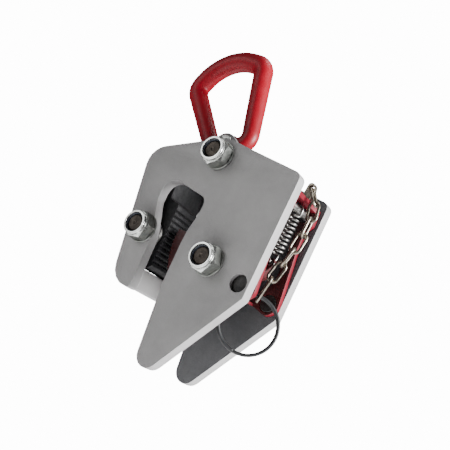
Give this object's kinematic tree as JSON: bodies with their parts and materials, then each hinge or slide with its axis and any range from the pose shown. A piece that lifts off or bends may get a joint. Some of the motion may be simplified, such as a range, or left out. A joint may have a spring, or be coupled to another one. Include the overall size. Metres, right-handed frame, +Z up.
{
  "type": "plate lifting clamp",
  "caption": "Vertical plate lifting clamp: two steel side plates with a jaw slot, toothed cam and jaw pad, lifting bail, lock lever with pull chain and split ring.",
  "frame": {"origin": "point inside the bail's crown where a crane hook bears, in the middle plane between the side plates", "axes": "+Z up, towards the crane hook; +X from the jaw pad towards the lock lever; Y across the side plates, with the nuts at -Y"},
  "size_m": [0.193, 0.0986, 0.3173],
  "materials": {
    "grey_paint": "satin grey paint over steel plate, with small scuffs",
    "red_paint": "glossy red paint on forged steel",
    "dark_steel": "black oxide steel, lightly oiled",
    "zinc_plate": "bright zinc plate",
    "spring_steel": "bare drawn steel",
    "nylon": "dark nylon locking insert"
  },
  "bodies": {
    "frame": {"side_plate_near": "grey_paint", "side_plate_far": "grey_paint", "throat_block": "grey_paint", "top_bolt": "dark_steel", "cam_bolt": "dark_steel", "pad_bolt": "dark_steel", "lever_pin_near": "dark_steel", "lever_pin_far": "dark_steel", "top_nut": "zinc_plate", "cam_nut": "zinc_plate", "pad_nut": "zinc_plate", "top_washer_near": "zinc_plate", "top_washer_far": "zinc_plate", "cam_washer_near": "zinc_plate", "cam_washer_far": "zinc_plate", "pad_washer_near": "zinc_plate", "pad_washer_far": "zinc_plate", "top_bush": "spring_steel", "cam_bush": "spring_steel", "pad_bush": "spring_steel", "link_spacer_near": "spring_steel", "link_spacer_far": "spring_steel", "cam_spacer_near": "spring_steel", "cam_spacer_far": "spring_steel", "spring_anchor": "spring_steel", "cam_spring": "spring_steel", "top_nut_insert": "nylon", "cam_nut_insert": "nylon", "pad_nut_insert": "nylon"},
    "cam": {"cam": "red_paint"},
    "jaw_pad": {"jaw_pad": "dark_steel"},
    "rocker": {"link_plate_near": "dark_steel", "link_plate_far": "dark_steel", "bail_pin": "zinc_plate", "bail_pin_clip": "spring_steel"},
    "bail": {"bail": "red_paint"},
    "lock_lever": {"lock_lever": "red_paint"},
    "chain_1": {"chain_link_1": "spring_steel"},
    "chain_2": {"chain_link_2": "spring_steel"},
    "chain_3": {"chain_link_3": "spring_steel"},
    "chain_4": {"chain_link_4": "spring_steel"},
    "chain_5": {"chain_link_5": "spring_steel"},
    "chain_6": {"chain_link_6": "spring_steel"},
    "chain_7": {"chain_link_7": "spring_steel"},
    "split_ring": {"split_ring": "dark_steel"}
  },
  "joints": [
    {"name": "cam_turn", "type": "hinge", "parent": "frame", "child": "cam", "pos_m": [0.09449, 0, -0.19471], "axis": [0, 1, 0], "range_deg": [0, 20], "stiffness_Nm_per_rad": 0.4, "springref_deg": -34.38, "deforming": ["cam_spring"]},
    {"name": "pad_rock", "type": "hinge", "parent": "frame", "child": "jaw_pad", "pos_m": [0.01349, 0, -0.18321], "axis": [0, 1, 0], "range_deg": [-2, 2]},
    {"name": "rocker_swing", "type": "hinge", "parent": "frame", "child": "rocker", "pos_m": [0.05999, 0, -0.10221], "axis": [0, 1, 0], "range_deg": [0, 35]},
    {"name": "bail_swing", "type": "hinge", "parent": "rocker", "child": "bail", "pos_m": [0.04099, 0, -0.08221], "axis": [0, 1, 0], "range_deg": [0, 35]},
    {"name": "lever_swing", "type": "hinge", "parent": "frame", "child": "lock_lever", "pos_m": [0.12849, 0, -0.20471], "axis": [0, 1, 0], "range_deg": [0, 20], "stiffness_Nm_per_rad": 0.5, "springref_deg": -34.38},
    {"name": "chain_swing_1", "type": "hinge", "parent": "lock_lever", "child": "chain_1", "pos_m": [0.13919, 0.0003, -0.10401], "axis": [0, -1, 0], "range_deg": [0, 10]},
    {"name": "chain_swing_2", "type": "hinge", "parent": "chain_1", "child": "chain_2", "pos_m": [0.14737, -0.0023, -0.11619], "axis": [0, -1, 0], "range_deg": [0, 10]},
    {"name": "chain_swing_3", "type": "hinge", "parent": "chain_2", "child": "chain_3", "pos_m": [0.14998, -0.0031, -0.13084], "axis": [0, -1, 0], "range_deg": [0, 3]},
    {"name": "chain_swing_4", "type": "hinge", "parent": "chain_3", "child": "chain_4", "pos_m": [0.14949, -0.0045, -0.14566], "axis": [0, -1, 0], "range_deg": [0, 3]},
    {"name": "chain_swing_5", "type": "hinge", "parent": "chain_4", "child": "chain_5", "pos_m": [0.147, -0.00549, -0.16032], "axis": [0, -1, 0], "range_deg": [0, 3]},
    {"name": "chain_swing_6", "type": "hinge", "parent": "chain_5", "child": "chain_6", "pos_m": [0.14301, -0.00659, -0.17463], "axis": [0, -1, 0], "range_deg": [0, 3]},
    {"name": "chain_swing_7", "type": "hinge", "parent": "chain_6", "child": "chain_7", "pos_m": [0.13881, -0.00762, -0.18889], "axis": [0, -1, 0], "range_deg": [0, 3]},
    {"name": "ring_swing", "type": "hinge", "parent": "chain_7", "child": "split_ring", "pos_m": [0.13196, -0.00387, -0.20785], "axis": [0.5976, -0.8018, 0], "range_deg": [-3, 3]}
  ]
}
